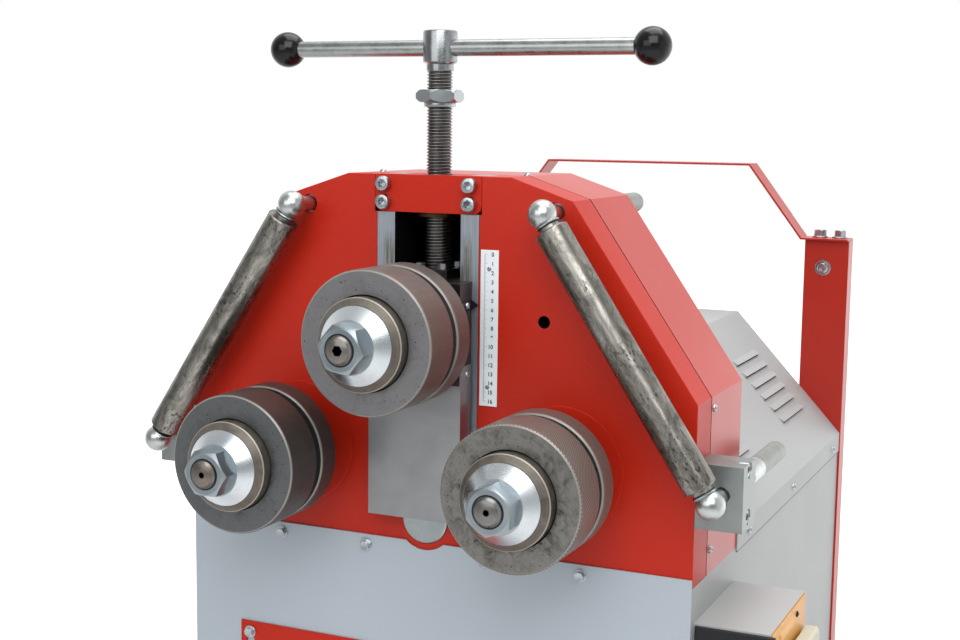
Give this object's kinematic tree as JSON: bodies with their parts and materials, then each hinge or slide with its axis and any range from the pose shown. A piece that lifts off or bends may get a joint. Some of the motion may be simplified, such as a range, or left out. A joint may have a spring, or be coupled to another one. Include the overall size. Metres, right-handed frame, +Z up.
{
  "type": "angle roll bender",
  "caption": "Floor-standing section bender with grooved rolls on a red head, a hand screw over the upper roll, sliding side guide rollers and a cabinet with a louvred motor hood.",
  "frame": {"origin": "on the floor, at the centre of the floor plate's underside", "axes": "+Z up, -Y towards the operator in front of the rolls, +X to the operator's right"},
  "size_m": [0.7813, 1.001, 1.387],
  "materials": {
    "red_paint": "satin textured paint",
    "panel_paint": "satin paint",
    "light_paint": "satin paint",
    "dark_paint": "satin paint",
    "ground_steel": "ground",
    "dark_steel": "oiled",
    "zinc": "bright zinc plate",
    "black_plastic": "gloss",
    "bronze": "turned",
    "amber_paint": "satin paint",
    "scale_plate": "satin",
    "cast_grey": "painted casting"
  },
  "bodies": {
    "machine": {"base_plate": "dark_paint", "cabinet_shell": "light_paint", "cabinet_frame": "dark_paint", "front_panel": "panel_paint", "access_panel": "red_paint", "front_plate": "red_paint", "guide_rails": "ground_steel", "top_bridge": "red_paint", "lead_nut": "bronze", "scale_strip": "scale_plate", "bearing_caps": "red_paint", "drive_cap": "zinc", "frame_bearings": "ground_steel", "gear_case": "cast_grey", "head_cover": "red_paint", "gearbox": "cast_grey", "motor": "cast_grey", "motor_hood": "light_paint", "rear_posts": "red_paint", "arch_bar": "red_paint", "guide_blocks": "zinc", "control_box": "light_paint", "switch_plate": "amber_paint"},
    "main_switch": {"switch_knob": "black_plastic"},
    "carriage": {"carriage_block": "dark_steel", "carriage_bearings": "ground_steel", "screw_retainer": "dark_steel", "slide_cover": "dark_paint", "pointer": "black_plastic"},
    "lead_screw": {"lead_screw": "dark_steel"},
    "tommy_bar": {"tommy_bar": "zinc", "bar_knobs": "black_plastic"},
    "stop_washer": {"stop_washer": "zinc"},
    "stop_nut": {"stop_nut": "zinc"},
    "upper_roll": {"upper_shaft": "ground_steel", "upper_hub": "dark_steel", "upper_rear_ring": "ground_steel", "upper_front_ring": "ground_steel", "upper_clamp_nut": "zinc"},
    "lower_left_roll": {"left_shaft": "ground_steel", "left_hub": "dark_steel", "left_rear_ring": "ground_steel", "left_front_ring": "ground_steel", "left_clamp_nut": "zinc", "left_gear": "ground_steel"},
    "lower_right_roll": {"right_shaft": "ground_steel", "right_hub": "dark_steel", "right_rear_ring": "ground_steel", "right_front_ring": "ground_steel", "right_clamp_nut": "zinc", "right_gear": "ground_steel"},
    "drive": {"drive_shaft": "ground_steel", "drive_pinion": "ground_steel"},
    "left_guide": {"left_guide_rods": "zinc", "left_spindle": "zinc"},
    "left_guide_roller": {"left_roller": "dark_steel"},
    "right_guide": {"right_guide_rods": "zinc", "right_spindle": "zinc"},
    "right_guide_roller": {"right_roller": "dark_steel"}
  },
  "joints": [
    {"name": "carriage_slide", "type": "slide", "parent": "machine", "child": "carriage", "axis": [0, 0, 1], "range_m": [-0.0601, 0.0451]},
    {"name": "screw_turn", "type": "hinge", "parent": "carriage", "child": "lead_screw", "pos_m": [0, -0.368, 1.3], "axis": [0, 0, 1], "range_deg": [-6171.43, 4628.57]},
    {"name": "tommy_bar_slide", "type": "slide", "parent": "lead_screw", "child": "tommy_bar", "axis": [1, 0, 0], "range_m": [-0.2, 0.15]},
    {"name": "stop_travel", "type": "slide", "parent": "lead_screw", "child": "stop_washer", "axis": [0, 0, 1], "range_m": [-0.0101, 0.0181]},
    {"name": "stop_nut_turn", "type": "hinge", "parent": "stop_washer", "child": "stop_nut", "pos_m": [0, -0.368, 1.31], "axis": [0, 0, 1], "range_deg": [-1028.57, 1851.43]},
    {"name": "upper_roll_spin", "type": "hinge", "parent": "carriage", "child": "upper_roll", "pos_m": [0, -0.486, 1.063], "axis": [0, 1, 0], "continuous": true},
    {"name": "lower_left_spin", "type": "hinge", "parent": "machine", "child": "lower_left_roll", "pos_m": [-0.1625, -0.486, 0.92], "axis": [0, 1, 0], "continuous": true},
    {"name": "lower_right_spin", "type": "hinge", "parent": "machine", "child": "lower_right_roll", "pos_m": [0.1625, -0.486, 0.92], "axis": [0, 1, 0], "continuous": true},
    {"name": "drive_spin", "type": "hinge", "parent": "machine", "child": "drive", "pos_m": [0, -0.286, 0.846], "axis": [0, 1, 0], "continuous": true},
    {"name": "main_switch_turn", "type": "hinge", "parent": "machine", "child": "main_switch", "pos_m": [0.395, -0.306, 0.6925], "axis": [1, 0, 0], "range_deg": [0, 90]},
    {"name": "left_guide_slide", "type": "slide", "parent": "machine", "child": "left_guide", "axis": [0, -1, 0], "range_m": [-0.014, 0.045]},
    {"name": "left_guide_spin", "type": "hinge", "parent": "left_guide", "child": "left_guide_roller", "pos_m": [-0.15, -0.433, 1.1945], "axis": [-0.5509, 0, -0.8345], "continuous": true},
    {"name": "right_guide_slide", "type": "slide", "parent": "machine", "child": "right_guide", "axis": [0, -1, 0], "range_m": [-0.014, 0.045]},
    {"name": "right_guide_spin", "type": "hinge", "parent": "right_guide", "child": "right_guide_roller", "pos_m": [0.15, -0.433, 1.1945], "axis": [0.5509, 0, -0.8345], "continuous": true}
  ],
  "couplings": [
    {"joint": "carriage_slide", "follows": "screw_turn", "m_per_rad": 0.00055704},
    {"joint": "stop_travel", "follows": "stop_nut_turn", "m_per_rad": 0.00055704},
    {"joint": "lower_right_spin", "follows": "lower_left_spin", "ratio": 1},
    {"joint": "drive_spin", "follows": "lower_left_spin", "ratio": -1.55}
  ]
}
